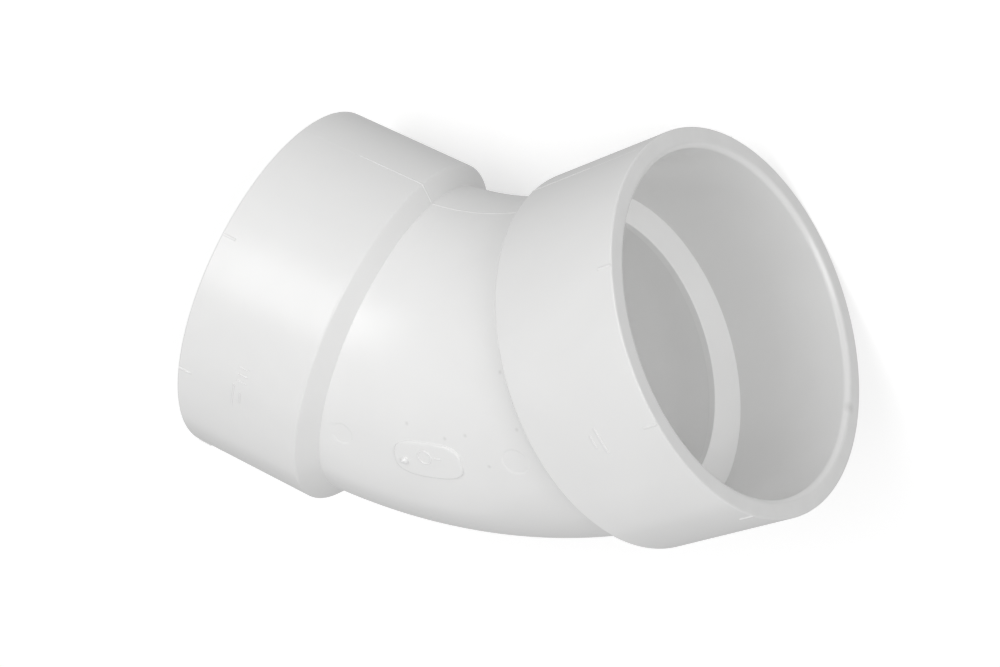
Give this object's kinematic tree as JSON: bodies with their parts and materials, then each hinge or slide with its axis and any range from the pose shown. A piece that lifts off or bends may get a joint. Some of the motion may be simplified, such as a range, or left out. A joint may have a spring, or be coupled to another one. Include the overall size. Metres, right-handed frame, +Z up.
{
  "type": "pipe elbow",
  "caption": "White PVC drainage elbow that turns a pipe run through 45 degrees, with a plain solvent-weld pipe socket at each end.",
  "frame": {"origin": "on the surface that the elbow lies on, below the middle of its bounding box", "axes": "the plane of the bend is level; +X from hub a to hub b, +Y into the inner corner of the bend, +Z up"},
  "size_m": [0.2272, 0.1424, 0.1286],
  "materials": {
    "body_pvc": "satin moulded",
    "hub_pvc": "satin moulded",
    "stop_pvc": "satin moulded",
    "pad_pvc": "satin moulded"
  },
  "bodies": {
    "root": {"bend_body": "body_pvc", "hub_a": "hub_pvc", "hub_b": "hub_pvc", "pipe_stop_a": "stop_pvc", "pipe_stop_b": "stop_pvc", "gate_pad": "pad_pvc"}
  },
  "joints": []
}
